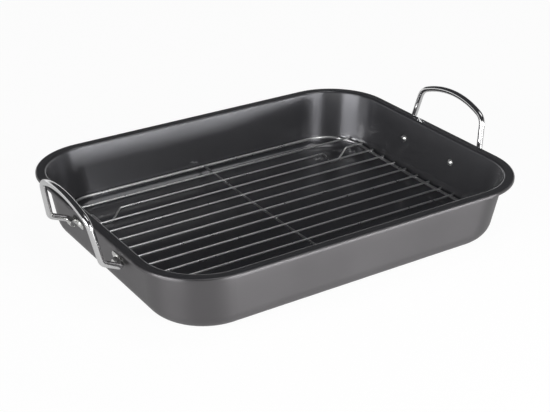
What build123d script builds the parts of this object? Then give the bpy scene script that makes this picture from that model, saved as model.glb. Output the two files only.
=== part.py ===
from build123d import *
from math import atan2, cos, radians, sin, sqrt, tan
import os

os.makedirs("parts", exist_ok=True)

# A roasting pan with two swing handles and a lift-out wire rack, in millimetres, Z up.
# The origin is under the middle of the pan. X runs from the left handle to the right one, -Y is the front.

# The pan, pressed from one steel sheet
pan_length = 420.0          # over the rim
pan_width = 331.5           # over the rim
pan_height = 66.3
sheet = 1.0
rim_width = 9.5             # flat rim, from the wall to the outer edge
rim_corner = 68.0           # outer corners of the rim, seen from above
rim_lip = 3.4               # the rim's edge is turned down by this much
rim_edge_bend = 2.0         # top of the rim over into its turned-down edge
rim_bend = 2.5              # wall over into the top of the rim
wall_lean = 9.2             # each wall leans out by this much over the pan's height
floor_bend = 20.0           # floor up into the wall, on the outside

# The straps that hold the handles: a riveted leaf with one end rolled into an eye
strap_drop = 25.3           # from the top of the rim down to the rivet and the eye, on the wall's outer face
strap_sheet = 0.9
rivet_spacing = 78.5        # between the two rivets of a handle
leaf_tail = 8.5             # leaf, from the rivet to its round end
eye_start = 4.5             # from the rivet to the eye
eye_length = 8.2
right_handle_shift = 3.5    # the right handle sits this much nearer the front than the left one
overrun = 5.0               # cuts run this far past what they cut

# The rivets
rivet_shank = 4.0           # diameter
rivet_hole_slack = 0.05     # all round the shank
inner_head = 7.6            # diameter of the head inside the pan
inner_head_rise = 1.9
outer_head = 6.4            # diameter of the head on the strap
outer_head_rise = 1.5

# The handles, bent from round wire
handle_wire = 6.3           # diameter
pin_slack = 0.05            # all round the pin in its eye
pin_setback = 0.8           # the pin ends this far inside the eye
pin_past_rivet = 18.25      # from the rivet to the pin's bend
leg_past_rivet = 17.05      # from the rivet to the foot of the leg
leg_past_rim = 10.0         # leg foot, out from the edge of the rim
leg_foot_drop = 17.7        # leg foot, down from the top of the rim
handle_loop = 52.4          # leg foot to the top of the loop, along the leaning plane
grip_radius = 110.0         # the long arch of the grip
shoulder_radius = 14.0
foot_bend = 7.0
pin_bend = 4.5
loop_lean = 11.0            # degrees that the loop leans outwards
grip_half_angle = 22.8      # degrees of the arch on each side of its top

# The rack, welded from straight and bent wires
rack_end_gap = 16.8         # from the top of the pan's end wall to the middle of the rack's end wire
rack_side_gap = 13.85       # from the top of the pan's side wall to the middle of the rack's side wire
rack_corner_inset = 14.5    # the frame's corners are this much tighter than the pan's
rack_height = 13.1          # middle of the centre rod above the ground
rack_tilt = 2.4             # degrees that the corners tilt up, where the bow of the end wires ends
frame_wire = 3.2            # diameter
cross_wire = 2.6            # diameter
rod_wire = 2.2              # diameter
rods_each_side = 6          # on each side of the centre rod
last_rod_gap = 21.9         # from the outermost rods to the side wires, on average
rods_shift = 2.3            # all rods lie this much nearer the front than the frame
rod_overhang = 2.3          # rods end this far past the middle of the end wire
weld_sink = 0.15            # crossing wires are pressed this deep into each other
foot_rod = 5                # the rods with feet, counted from the centre rod
right_foot_inset = 37.5     # middle of the right feet, in from the end wire
left_foot_inset = 42.0      # middle of the left feet, in from the end wire
foot_bottom = 11.3          # flat at the bottom of a foot, corner to corner
foot_top = 31.8             # mouth of a foot, corner to corner
foot_corner = 4.5
foot_gap = 0.3              # between the feet and the pan's floor

# Worked out from the sizes above
wall_length = pan_length - 2 * rim_width
wall_width = pan_width - 2 * rim_width
wall_corner = rim_corner - rim_width
floor_length = wall_length - 2 * wall_lean
floor_width = wall_width - 2 * wall_lean
wall_angle = atan2(wall_lean, pan_height)
strap_height = pan_height - strap_drop
wall_out = floor_length / 2 + strap_height * tan(wall_angle)
pin_radius = handle_wire / 2
eye_bore = pin_radius + pin_slack
eye_outer = eye_bore + strap_sheet
handle_foot_half = rivet_spacing / 2 + pin_past_rivet
handle_leg_half = rivet_spacing / 2 + leg_past_rivet
handle_foot_out = pan_length / 2 + leg_past_rim
handle_foot_height = pan_height - leg_foot_drop
rack_half_length = wall_length / 2 - rack_end_gap
rack_half_width = wall_width / 2 - rack_side_gap
rack_corner = wall_corner - rack_corner_inset
rod_pitch = (rack_half_width - last_rod_gap) / rods_each_side
foot_right = rack_half_length - right_foot_inset
foot_left = rack_half_length - left_foot_inset
rod_radius = rod_wire / 2
frame_radius = frame_wire / 2
cross_radius = cross_wire / 2
sides = {"left": (-1, 0), "right": (1, -right_handle_shift)}
ends = {"front": -1, "back": 1}


def strap_plane(side, middle, end):
    """On the wall at the rivet: X towards the handle's foot, Z out of the wall."""
    return Plane(
        origin=(side * wall_out, middle + end * rivet_spacing / 2, strap_height),
        x_dir=(0, end, 0),
        z_dir=(side * cos(wall_angle), 0, -sin(wall_angle)),
    )


def strap_planes():
    """Name and plane of each of the four straps."""
    for side_name, (side, middle) in sides.items():
        for end_name, end in ends.items():
            yield f"{side_name}_{end_name}", strap_plane(side, middle, end)


def wall_outline(level, inset):
    """The wall's outline at a height, moved in from the outer face."""
    RectangleRounded(
        floor_length + 2 * (wall_lean * level / pan_height - inset),
        floor_width + 2 * (wall_lean * level / pan_height - inset),
        wall_corner - inset,
    )


def filled_tub(bottom, inset, bend):
    """The tub as a full block, from its bottom up to the rim, with the floor's edge rounded."""
    with BuildPart() as block:
        with BuildSketch(Plane.XY.offset(bottom)):
            wall_outline(bottom, inset)
        with BuildSketch(Plane.XY.offset(pan_height)):
            wall_outline(pan_height, inset)
        loft()
        fillet(block.faces().sort_by(Axis.Z)[0].edges(), radius=bend)
    return block.part


# Pan body: the drafted tub, its flat rim and the rim's turned-down edge
outer_tub = filled_tub(0, 0, floor_bend)
inner_tub = filled_tub(sheet, sheet / cos(wall_angle), floor_bend - sheet)
with BuildPart() as pan_body:
    add(outer_tub)
    with BuildSketch(Plane.XY.offset(pan_height)):
        RectangleRounded(pan_length, pan_width, rim_corner)
    extrude(amount=-sheet)
    with BuildSketch(Plane.XY.offset(pan_height)):
        RectangleRounded(pan_length, pan_width, rim_corner)
        RectangleRounded(pan_length - 2 * sheet, pan_width - 2 * sheet, rim_corner - sheet, mode=Mode.SUBTRACT)
    extrude(amount=-rim_lip)
    add(inner_tub, mode=Mode.SUBTRACT)
    rim_underside = pan_body.faces().filter_by(Plane.XY).sort_by(Axis.Z)[-2]
    fillet(rim_underside.inner_wires()[0].edges(), radius=rim_bend - sheet)
    rim_underside = pan_body.faces().filter_by(Plane.XY).sort_by(Axis.Z)[-2]
    fillet(rim_underside.outer_wire().edges(), radius=rim_edge_bend - sheet)
    rim_top = pan_body.faces().sort_by(Axis.Z)[-1]
    fillet(rim_top.inner_wires()[0].edges(), radius=rim_bend)
    rim_top = pan_body.faces().sort_by(Axis.Z)[-1]
    fillet(rim_top.outer_wire().edges(), radius=rim_edge_bend)
    for name, plane in strap_planes():
        with BuildSketch(plane):
            Circle(rivet_shank / 2 + rivet_hole_slack)
        extrude(amount=overrun, both=True, mode=Mode.SUBTRACT)
pan_body.part.label = "pan_body"
export_step(pan_body.part, "parts/pan_body.step")

# Straps: a flat leaf with a round end lies on the wall, and its other end is rolled into the eye
for name, plane in strap_planes():
    leaf_end = eye_start + eye_length
    with BuildPart() as strap:
        with BuildSketch(plane):
            with BuildLine():
                tail = Polyline(
                    (eye_outer - leaf_tail, -eye_outer),
                    (leaf_end, -eye_outer),
                    (leaf_end, eye_outer),
                    (eye_outer - leaf_tail, eye_outer),
                )
                ThreePointArc(tail @ 1, (-leaf_tail, 0), tail @ 0)
            make_face()
            Circle(rivet_shank / 2 + rivet_hole_slack, mode=Mode.SUBTRACT)
        extrude(amount=strap_sheet)
        eye_plane = Plane(
            origin=plane.from_local_coords((eye_start, 0, eye_outer)), x_dir=plane.y_dir, z_dir=plane.x_dir
        )
        with BuildSketch(eye_plane):
            Circle(eye_outer)
        extrude(amount=eye_length)
        with BuildSketch(eye_plane):
            Circle(eye_bore)
        extrude(amount=eye_length, mode=Mode.SUBTRACT)
    strap.part.label = f"{name}_strap"
    export_step(strap.part, f"parts/{name}_strap.step")

# Rivets: a shank through wall and leaf, with a domed head on each side
for name, plane in strap_planes():
    with BuildPart() as rivet:
        with BuildSketch(Plane(origin=plane.origin, x_dir=plane.x_dir, z_dir=-plane.y_dir)):
            with BuildLine():
                inner_dome = TangentArc((0, -sheet - inner_head_rise), (inner_head / 2, -sheet), tangent=(1, 0))
                shank = Polyline(
                    inner_dome @ 1,
                    (rivet_shank / 2, -sheet),
                    (rivet_shank / 2, strap_sheet),
                    (outer_head / 2, strap_sheet),
                )
                outer_dome = TangentArc(
                    (0, strap_sheet + outer_head_rise), (outer_head / 2, strap_sheet), tangent=(1, 0)
                )
                Line(outer_dome @ 0, inner_dome @ 0)
            make_face()
        revolve(axis=Axis(plane.origin, plane.z_dir))
    rivet.part.label = f"{name}_rivet"
    export_step(rivet.part, f"parts/{name}_rivet.step")

# Handles: pins turned in at both ends, feet that clear the rim, and the leaning loop with its arched grip
pin_out = wall_out + eye_outer * cos(wall_angle)
pin_height = strap_height - eye_outer * sin(wall_angle)
pin_end = rivet_spacing / 2 + eye_start + pin_setback
grip_centre = handle_loop - grip_radius
shoulder_along = (grip_radius - shoulder_radius) * sin(radians(grip_half_angle))
shoulder_up = grip_centre + (grip_radius - shoulder_radius) * cos(radians(grip_half_angle))
# The leg runs from its foot to where it meets the shoulder's circle
foot_reach = sqrt((handle_leg_half - shoulder_along) ** 2 + shoulder_up**2)
leg_angle = atan2(sqrt(foot_reach**2 - shoulder_radius**2), shoulder_radius) - atan2(
    shoulder_up, handle_leg_half - shoulder_along
)
leg_top_along = shoulder_along + shoulder_radius * cos(leg_angle)
leg_top_up = shoulder_up + shoulder_radius * sin(leg_angle)
arch_end_along = grip_radius * sin(radians(grip_half_angle))
arch_end_up = grip_centre + grip_radius * cos(radians(grip_half_angle))


def bend_points(before, corner, after, radius):
    """Start and end of a round bend that replaces the corner between two straight runs."""
    run_in = (before - corner).normalized()
    run_out = (after - corner).normalized()
    half = radians(run_in.get_angle(run_out)) / 2
    setback = radius / tan(half)
    return corner + run_in * setback, corner + run_out * setback


for side_name, (side, middle) in sides.items():

    def loop_point(along, up):
        """A point in the leaning plane of the loop, from the middle of its legs' feet."""
        return Vector(
            side * (handle_foot_out + up * sin(radians(loop_lean))),
            middle + along,
            handle_foot_height + up * cos(radians(loop_lean)),
        )

    with BuildPart() as handle:
        with BuildLine() as route:
            for end in (-1, 1):
                pin_tip = Vector(side * pin_out, middle + end * pin_end, pin_height)
                pin_corner = Vector(side * pin_out, middle + end * handle_foot_half, pin_height)
                foot_corner_point = loop_point(end * handle_leg_half, 0)
                leg_top = loop_point(end * leg_top_along, leg_top_up)
                pin_stop, foot_start = bend_points(pin_tip, pin_corner, foot_corner_point, pin_bend)
                foot_stop, leg_start = bend_points(pin_corner, foot_corner_point, leg_top, foot_bend)
                Line(pin_tip, pin_stop)
                TangentArc(pin_stop, foot_start, tangent=pin_corner - pin_tip)
                Line(foot_start, foot_stop)
                TangentArc(foot_stop, leg_start, tangent=foot_corner_point - pin_corner)
                Line(leg_start, leg_top)
                TangentArc(leg_top, loop_point(end * arch_end_along, arch_end_up), tangent=leg_top - leg_start)
            ThreePointArc(
                loop_point(-arch_end_along, arch_end_up),
                loop_point(0, handle_loop),
                loop_point(arch_end_along, arch_end_up),
            )
        start = Vector(side * pin_out, middle - pin_end, pin_height)
        with BuildSketch(Plane(origin=start, z_dir=(0, -1, 0))):
            Circle(pin_radius)
        sweep(path=route.wires()[0])
    handle.part.label = f"{side_name}_handle"
    export_step(handle.part, f"parts/{side_name}_handle.step")


bow_end = rack_half_width - rack_corner * cos(radians(rack_tilt))
bow_radius = bow_end / sin(radians(rack_tilt))
bow_rise = bow_radius * (1 - cos(radians(rack_tilt)))
side_rise = bow_rise + rack_corner * sin(radians(rack_tilt))
corner_x = rack_half_length - rack_corner
frame_level = rack_height - rod_radius - frame_radius + weld_sink
cross_level = rack_height - rod_radius - cross_radius + weld_sink


def dish(y):
    """Rise of the rack above its middle, at this place across its width: a bow with straight ends."""
    if abs(y) <= bow_end:
        return bow_radius - sqrt(bow_radius**2 - y**2)
    return bow_rise + (abs(y) - bow_end) * tan(radians(rack_tilt))


def end_wire_out(y):
    """How far out the middle of the frame's end lies at this place across the rack."""
    if abs(y) <= bow_end:
        return rack_half_length
    into_corner = (abs(y) - bow_end) / cos(radians(rack_tilt))
    return corner_x + sqrt(rack_corner**2 - into_corner**2)


# Rack frame: one closed wire, rounded at its tilted corners, with its ends bowed down in the middle
with BuildPart() as quarter:
    with BuildLine() as quarter_route:
        side = Line(
            (0, rack_half_width, frame_level + side_rise),
            (corner_x, rack_half_width, frame_level + side_rise),
        )
        corner = TangentArc(side @ 1, (rack_half_length, bow_end, frame_level + bow_rise), tangent=side % 1)
        TangentArc(corner @ 1, (rack_half_length, 0, frame_level), tangent=corner % 1)
    with BuildSketch(Plane(origin=side @ 0, z_dir=side % 0)):
        Circle(frame_radius)
    sweep(path=quarter_route.wires()[0])

with BuildPart() as rack_frame:
    add(quarter.part)
    mirror(about=Plane.XZ)
    mirror(about=Plane.YZ)
rack_frame.part.label = "rack_frame"
export_step(rack_frame.part, "parts/rack_frame.step")

# Cross wire: under the rods, bowed like the frame's ends and butted against its two long sides
cross_end = rack_half_width - frame_radius + weld_sink
with BuildPart() as rack_cross_wire:
    with BuildLine() as cross_route:
        front = Line((0, -cross_end, cross_level + dish(cross_end)), (0, -bow_end, cross_level + bow_rise))
        bow = TangentArc(front @ 1, (0, bow_end, cross_level + bow_rise), tangent=front % 1)
        Line(bow @ 1, (0, cross_end, cross_level + dish(cross_end)))
    with BuildSketch(Plane(origin=front @ 0, z_dir=front % 0)):
        Circle(cross_radius)
    sweep(path=cross_route.wires()[0])
rack_cross_wire.part.label = "rack_cross_wire"
export_step(rack_cross_wire.part, "parts/rack_cross_wire.step")

# Rods: straight ones, and two with feet bent down at both ends, numbered from the back
foot_level = sheet + foot_gap + rod_radius
for number, place in enumerate(range(rods_each_side, -rods_each_side - 1, -1), start=1):
    rod_y = place * rod_pitch - rods_shift
    rod_level = rack_height + dish(rod_y)
    rod_end = end_wire_out(rod_y) + rod_overhang
    with BuildPart() as rod:
        if abs(place) == foot_rod:
            with BuildLine(Plane.XZ.offset(-rod_y)) as rod_route:
                FilletPolyline(
                    (-rod_end, rod_level),
                    (-foot_left - foot_top / 2, rod_level),
                    (-foot_left - foot_bottom / 2, foot_level),
                    (-foot_left + foot_bottom / 2, foot_level),
                    (-foot_left + foot_top / 2, rod_level),
                    (foot_right - foot_top / 2, rod_level),
                    (foot_right - foot_bottom / 2, foot_level),
                    (foot_right + foot_bottom / 2, foot_level),
                    (foot_right + foot_top / 2, rod_level),
                    (rod_end, rod_level),
                    radius=foot_corner,
                )
            with BuildSketch(Plane(origin=(-rod_end, rod_y, rod_level), z_dir=(1, 0, 0))):
                Circle(rod_radius)
            sweep()
        else:
            with BuildSketch(Plane(origin=(-rod_end, rod_y, rod_level), z_dir=(1, 0, 0))):
                Circle(rod_radius)
            extrude(amount=2 * rod_end)
    kind = "foot_rod" if abs(place) == foot_rod else "rod"
    rod.part.label = f"rack_{kind}_{number:02d}"
    export_step(rod.part, f"parts/rack_{kind}_{number:02d}.step")
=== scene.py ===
from math import cos, radians, sin

import bpy
from mathutils import Matrix, Vector


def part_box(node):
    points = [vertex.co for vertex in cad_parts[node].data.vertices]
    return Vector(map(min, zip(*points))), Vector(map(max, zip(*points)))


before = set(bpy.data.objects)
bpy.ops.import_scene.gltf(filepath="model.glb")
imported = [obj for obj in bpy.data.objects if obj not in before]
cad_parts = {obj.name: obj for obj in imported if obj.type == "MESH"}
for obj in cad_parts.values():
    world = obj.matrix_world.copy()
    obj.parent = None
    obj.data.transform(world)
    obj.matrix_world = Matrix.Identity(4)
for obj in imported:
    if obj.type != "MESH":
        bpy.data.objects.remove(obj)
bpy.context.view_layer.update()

# A coated steel roasting pan with two chromed wire handles and a chromed wire rack, in metres, Z up.
# The origin is under the middle of the pan, the right handle is at +X and the front at -Y.

SIDES = ("left", "right")
ENDS = ("front", "back")
RACK_NODES = [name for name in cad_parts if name.startswith("rack_")]

RIM_CORNER = 0.068              # radius of the rim's corners, seen from above
LEAN_FROM = 0.044               # above this height the wall is shaded as if it leant over more
LEAN_BEND = 5.0                 # by this much slope for each metre of height

# The pan's coating: each colour and roughness drifts between two values, as sprayed coats do
INSIDE_COLOURS = (0.102, 0.102, 0.110), (0.118, 0.118, 0.127)
OUTSIDE_COLOURS = (0.155, 0.150, 0.155), (0.173, 0.168, 0.173)
INSIDE_ROUGHNESS = 0.30, 0.34
OUTSIDE_ROUGHNESS = 0.36, 0.41
INSIDE_METAL, OUTSIDE_METAL = 0.68, 0.9
COATING_CLOUDS = 22             # noise scale of that drift
CLOUD_SPAN = 0.3, 0.7           # the part of the noise that the roughness follows
COATING_GRAIN = 1400            # noise scale of the fine grain
COATING_GRAIN_DEPTH = 0.00003
COATING_GLOSS_ROUGHNESS = 0.12
COATING_GLOSS_IOR = 1.6
DRAWING_LINES = 0.8             # how far the sheet's drawing lines spread a highlight

PLATING_CLOUDS = 60
PLATING_GRAIN = 900
PLATING_GRAIN_DEPTH = 0.00002
PLATING_SHADE = 0.93            # the darker places in the plating, against its colour
PLATING_WEAR = 1.4              # the roughest places, against its roughness

FLOOR_SIZE = 60
FLOOR_TO_CAMERA = 0.9           # the floor's plain white, to the camera; the rest holds the shadow
FLOOR_IN_MIRRORS = 0.35         # the same for what the chrome and the coating reflect
FLOOR_WHITE = 1.05

HORIZON_COLOUR = 1.0, 1.0, 1.0
SKY_COLOUR = 0.035, 0.035, 0.038
HORIZON_TOP, SKY_FROM = 0.10, 0.26      # as the sine of the angle over the horizon


def socket_values(node, **values):
    """Sets named inputs of a node; underscores stand for the spaces in their names."""
    for name, value in values.items():
        node.inputs[name.replace("_", " ")].default_value = value


class Finish:
    """A material's node tree, with its shader and the piece's own coordinates."""

    def __init__(self, name):
        self.material = bpy.data.materials.new(name)
        self.material.use_nodes = True
        self.nodes = self.material.node_tree.nodes
        self.links = self.material.node_tree.links
        self.shader = self.nodes["Principled BSDF"]
        self.output = self.nodes["Material Output"]
        self.place = self.nodes.new("ShaderNodeTexCoord")

    def link(self, source, target):
        self.links.new(source, target)

    def noise(self, scale, detail, stretch=(1, 1, 1)):
        """Noise in the piece's own metres; a stretch under 1 draws it out along that axis."""
        mapping = self.nodes.new("ShaderNodeMapping")
        mapping.inputs["Scale"].default_value = stretch
        self.link(self.place.outputs["Object"], mapping.inputs["Vector"])
        noise = self.nodes.new("ShaderNodeTexNoise")
        socket_values(noise, Scale=scale, Detail=detail)
        self.link(mapping.outputs["Vector"], noise.inputs["Vector"])
        return noise.outputs["Fac"]

    def range(self, value, low, high, to_low=0.0, to_high=1.0):
        """Maps a value from one range to another."""
        node = self.nodes.new("ShaderNodeMapRange")
        socket_values(node, From_Min=low, From_Max=high, To_Min=to_low, To_Max=to_high)
        self.link(value, node.inputs["Value"])
        return node.outputs["Result"]

    def math(self, operation, first, second):
        node = self.nodes.new("ShaderNodeMath")
        node.operation = operation
        for socket, value in zip(node.inputs, (first, second)):
            if isinstance(value, (int, float)):
                socket.default_value = value
            else:
                self.link(value, socket)
        return node.outputs["Value"]

    def vector(self, operation, first, second=None):
        node = self.nodes.new("ShaderNodeVectorMath")
        node.operation = operation
        for socket, value in zip(node.inputs, (first, second)):
            if isinstance(value, tuple):
                socket.default_value = value
            elif value is not None:
                self.link(value, socket)
        return node.outputs["Value" if operation == "DOT_PRODUCT" else "Vector"]

    def mix_colour(self, amount, first, second):
        """One colour passing into another."""
        node = self.nodes.new("ShaderNodeMix")
        node.data_type = "RGBA"
        self.link(amount, node.inputs["Factor"])
        colours = [socket for socket in node.inputs if socket.type == "RGBA"]
        for socket, value in zip(colours, (first, second)):
            if isinstance(value, tuple):
                socket.default_value = (*value, 1)
            else:
                self.link(value, socket)
        return [socket for socket in node.outputs if socket.type == "RGBA"][0]

    def mix_vector(self, amount, first, second):
        """One direction passing into another."""
        node = self.nodes.new("ShaderNodeMix")
        node.data_type = "VECTOR"
        self.link(amount, node.inputs["Factor"])
        directions = [socket for socket in node.inputs if socket.type == "VECTOR"][-2:]
        for socket, value in zip(directions, (first, second)):
            socket.default_value = value
        return [socket for socket in node.outputs if socket.type == "VECTOR"][0]

    def mix_value(self, amount, first, second):
        """One value passing into another."""
        node = self.nodes.new("ShaderNodeMix")
        self.link(amount, node.inputs["Factor"])
        values = [socket for socket in node.inputs if socket.type == "VALUE"][1:]
        for socket, value in zip(values, (first, second)):
            if isinstance(value, (int, float)):
                socket.default_value = value
            else:
                self.link(value, socket)
        return [socket for socket in node.outputs if socket.type == "VALUE"][0]

    def bump(self, height, depth):
        """Relief of the given depth in metres."""
        node = self.nodes.new("ShaderNodeBump")
        socket_values(node, Strength=1.0, Distance=depth)
        self.link(height, node.inputs["Height"])
        return node.outputs["Normal"]


def outside_share(finish):
    """1 on the pan's outside, its turned-down edge and its underside, 0 on what faces the food."""
    low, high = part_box("pan_body")
    core = (high.x - RIM_CORNER, high.y - RIM_CORNER, 1.0)
    inner = finish.vector("MAXIMUM", finish.place.outputs["Object"], tuple(-size for size in core))
    inner = finish.vector("MINIMUM", inner, core)
    outward = finish.vector("SUBTRACT", finish.place.outputs["Object"], inner)
    outward = finish.vector("MULTIPLY", outward, (1.0, 1.0, 0.0))
    outward = finish.vector("NORMALIZE", outward)
    normal = finish.place.outputs["Normal"]
    facing_out = finish.range(finish.vector("DOT_PRODUCT", outward, normal), 0.45, 0.7)
    facing_down = finish.range(finish.vector("DOT_PRODUCT", normal, (0.0, 0.0, -1.0)), 0.1, 0.3)
    return finish.math("MAXIMUM", facing_out, facing_down)


def pan_finish():
    """Dark glossy non-stick coating inside and on the rim, satin grey coating outside."""
    finish = Finish("pan_coating")
    outside = outside_share(finish)
    cloud = finish.noise(COATING_CLOUDS, detail=4)
    inside_colour = finish.mix_colour(cloud, *INSIDE_COLOURS)
    outside_colour = finish.mix_colour(cloud, *OUTSIDE_COLOURS)
    colour = finish.mix_colour(outside, inside_colour, outside_colour)
    finish.link(colour, finish.shader.inputs["Base Color"])
    metal = finish.mix_value(outside, INSIDE_METAL, OUTSIDE_METAL)
    finish.link(metal, finish.shader.inputs["Metallic"])
    inside_rough = finish.range(cloud, *CLOUD_SPAN, *INSIDE_ROUGHNESS)
    outside_rough = finish.range(cloud, *CLOUD_SPAN, *OUTSIDE_ROUGHNESS)
    rough = finish.mix_value(outside, inside_rough, outside_rough)
    finish.link(rough, finish.shader.inputs["Roughness"])
    finish.link(finish.mix_value(outside, 1.0, 0.0), finish.shader.inputs["Coat Weight"])
    finish.shader.inputs["Coat Roughness"].default_value = COATING_GLOSS_ROUGHNESS
    finish.shader.inputs["Coat IOR"].default_value = COATING_GLOSS_IOR
    # The sheet's drawing lines run round the walls, so they spread a highlight up and down
    finish.shader.inputs["Anisotropic"].default_value = DRAWING_LINES
    level = finish.vector("DOT_PRODUCT", finish.place.outputs["Normal"], (0.0, 0.0, 1.0))
    level = finish.math("ABSOLUTE", level, 0)
    level = finish.range(level, 0.6, 0.9)
    along = finish.mix_vector(level, (0.0, 0.0, 1.0), (1.0, 0.0, 0.0))
    finish.link(along, finish.shader.inputs["Tangent"])
    # The wall is shaded as if it leant over a little more towards the rim; its mesh stays straight
    rise = finish.vector("DOT_PRODUCT", finish.place.outputs["Object"], (0.0, 0.0, 1.0))
    rise = finish.math("MAXIMUM", finish.math("SUBTRACT", rise, LEAN_FROM), 0)
    flare = finish.math("MULTIPLY", finish.math("MULTIPLY", rise, rise), -LEAN_BEND / 2)
    grain = finish.noise(COATING_GRAIN, detail=2)
    grain = finish.math("MULTIPLY", grain, COATING_GRAIN_DEPTH)
    finish.link(finish.bump(finish.math("ADD", flare, grain), 1.0), finish.shader.inputs["Normal"])
    return finish.material


def chrome_finish(name, colour, roughness, draw_lines):
    """Bright plating over drawn wire or sheet."""
    finish = Finish(name)
    cloud = finish.noise(PLATING_CLOUDS, detail=3)
    tint = finish.mix_colour(cloud, colour, tuple(part * PLATING_SHADE for part in colour))
    finish.link(tint, finish.shader.inputs["Base Color"])
    finish.shader.inputs["Metallic"].default_value = 1.0
    worn = finish.range(cloud, *CLOUD_SPAN, roughness, roughness * PLATING_WEAR)
    finish.link(worn, finish.shader.inputs["Roughness"])
    grain = finish.noise(PLATING_GRAIN, detail=2, stretch=draw_lines)
    finish.link(finish.bump(grain, PLATING_GRAIN_DEPTH), finish.shader.inputs["Normal"])
    return finish.material


def dress(node, material):
    """Gives a node of the frame its finish."""
    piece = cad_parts[node]
    if not piece.material_slots:
        piece.data.materials.append(material)
    for slot in piece.material_slots:
        slot.material = material


def dress_all():
    """Gives every piece of the pan and the rack its finish."""
    dress("pan_body", pan_finish())
    handle_chrome = chrome_finish("handle_chrome", (0.80, 0.80, 0.80), 0.12, (1, 1, 1))
    rack_chrome = chrome_finish("rack_chrome", (0.78, 0.78, 0.78), 0.26, (0.1, 1, 1))
    strap_steel = chrome_finish("strap_steel", (0.78, 0.78, 0.76), 0.22, (1, 1, 1))
    rivet_steel = chrome_finish("rivet_steel", (0.85, 0.85, 0.83), 0.30, (1, 1, 1))
    for side in SIDES:
        dress(f"{side}_handle", handle_chrome)
        for end in ENDS:
            dress(f"{side}_{end}_strap", strap_steel)
            dress(f"{side}_{end}_rivet", rivet_steel)
    for node in RACK_NODES:
        dress(node, rack_chrome)


def direction(azimuth, elevation):
    """From the pan outwards; azimuth 0 is the front, and it grows towards the right handle."""
    a, e = radians(azimuth), radians(elevation)
    return Vector((sin(a) * cos(e), -cos(a) * cos(e), sin(e)))


def studio_floor():
    """A white floor that shows as white and keeps the pan's soft shadow."""
    bpy.ops.object.select_all(action="DESELECT")
    bpy.ops.mesh.primitive_plane_add(size=FLOOR_SIZE, location=(0, 0, 0))
    floor = bpy.context.object
    floor.name = "studio_floor"
    finish = Finish("studio_floor")
    finish.shader.inputs["Base Color"].default_value = (0.95, 0.95, 0.95, 1)
    finish.shader.inputs["Roughness"].default_value = 0.9
    finish.shader.inputs["Specular IOR Level"].default_value = 0.0
    white = finish.nodes.new("ShaderNodeEmission")
    white.inputs["Strength"].default_value = FLOOR_WHITE
    seen = finish.nodes.new("ShaderNodeLightPath")
    glossy, through = seen.outputs["Is Glossy Ray"], seen.outputs["Is Transmission Ray"]
    mirrored = finish.math("MAXIMUM", glossy, through)
    to_camera = finish.math("MULTIPLY", seen.outputs["Is Camera Ray"], FLOOR_TO_CAMERA)
    in_mirrors = finish.math("MULTIPLY", mirrored, FLOOR_IN_MIRRORS)
    share = finish.math("MAXIMUM", to_camera, in_mirrors)
    mix = finish.nodes.new("ShaderNodeMixShader")
    finish.link(share, mix.inputs[0])
    finish.link(finish.shader.outputs["BSDF"], mix.inputs[1])
    finish.link(white.outputs["Emission"], mix.inputs[2])
    finish.link(mix.outputs["Shader"], finish.output.inputs["Surface"])
    floor.data.materials.append(finish.material)


def softbox(name, place, aim, width, height, power):
    """A rectangular lamp at a place, facing an aim."""
    lamp = bpy.data.lights.new(name, "AREA")
    lamp.shape = "RECTANGLE"
    lamp.size, lamp.size_y = width, height
    lamp.energy = power
    holder = bpy.data.objects.new(name, lamp)
    bpy.context.scene.collection.objects.link(holder)
    holder.location = place
    holder.rotation_mode = "QUATERNION"
    holder.rotation_quaternion = (Vector(place) - Vector(aim)).to_track_quat("Z", "Y")
    holder.visible_camera = False


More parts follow.
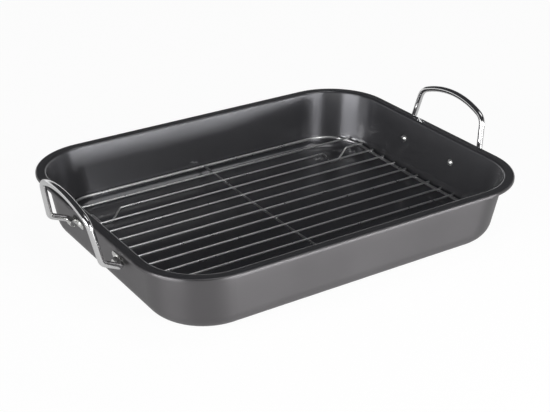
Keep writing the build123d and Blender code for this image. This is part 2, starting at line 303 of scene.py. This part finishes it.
def studio_light():
    """Four softboxes, and a world that is white at the horizon and dark above it."""
    softbox("front_softbox", (0.13, -1.2, 0.45), (0.05, 0, 0.05), 0.45, 0.45, 5)
    softbox("right_strip", (1.0, -1.75, 0.13), (0.2, 0, 0.13), 1.2, 0.12, 15)
    softbox("left_softbox", (-2.7, -0.55, 0.65), (0, -0.1, 0.05), 1.9, 0.7, 45)
    softbox("top_softbox", (0.6, -0.5, 2.2), (0, 0, 0), 0.8, 1.6, 6)
    world = bpy.data.worlds.new("studio")
    bpy.context.scene.world = world
    world.use_nodes = True
    nodes, links = world.node_tree.nodes, world.node_tree.links
    place = nodes.new("ShaderNodeTexCoord")
    split = nodes.new("ShaderNodeSeparateXYZ")
    ramp = nodes.new("ShaderNodeValToRGB")
    links.new(place.outputs["Generated"], split.inputs["Vector"])
    links.new(split.outputs["Z"], ramp.inputs["Fac"])
    links.new(ramp.outputs["Color"], nodes["Background"].inputs["Color"])
    stops = ramp.color_ramp.elements
    stops[0].position, stops[0].color = HORIZON_TOP, (*HORIZON_COLOUR, 1)
    stops[1].position, stops[1].color = SKY_FROM, (*SKY_COLOUR, 1)
    nodes["Background"].inputs["Strength"].default_value = 1.0


# The camera, from a fit to the rim, the walls and the rack's wires
CAMERA_AZIMUTH = -33.25         # degrees, from the front towards the left
CAMERA_ELEVATION = 26.14        # degrees
CAMERA_ROLL = 0.19              # degrees
CAMERA_DISTANCE = 1.27644       # from the origin, along the view
CAMERA_TO_RIGHT = 0.00086       # the view's middle passes this far beside the origin
CAMERA_UP = 0.02147             # and this far above it
FOCAL_LENGTH_PX = 1239.82
IMAGE_WIDTH_PX = 550
SENSOR_WIDTH = 36.0


def studio_camera():
    """The camera that took the photo, as far as the fit tells."""
    back = direction(CAMERA_AZIMUTH, CAMERA_ELEVATION)
    azimuth, roll = radians(CAMERA_AZIMUTH), radians(CAMERA_ROLL)
    level_right = Vector((cos(azimuth), sin(azimuth), 0))
    level_up = back.cross(level_right)
    right = level_right * cos(roll) + level_up * sin(roll)
    up = level_up * cos(roll) - level_right * sin(roll)
    lens = bpy.data.cameras.new("photo_camera")
    lens.sensor_width = SENSOR_WIDTH
    lens.lens = SENSOR_WIDTH * FOCAL_LENGTH_PX / IMAGE_WIDTH_PX
    lens.clip_start, lens.clip_end = 0.05, 100
    camera = bpy.data.objects.new("photo_camera", lens)
    bpy.context.scene.collection.objects.link(camera)
    turned = Matrix((right, up, back)).transposed().to_4x4()
    turned.translation = back * CAMERA_DISTANCE + right * CAMERA_TO_RIGHT + up * CAMERA_UP
    camera.matrix_world = turned
    bpy.context.scene.camera = camera


dress_all()
studio_floor()
studio_light()
studio_camera()
bpy.context.scene.view_settings.view_transform = "Standard"
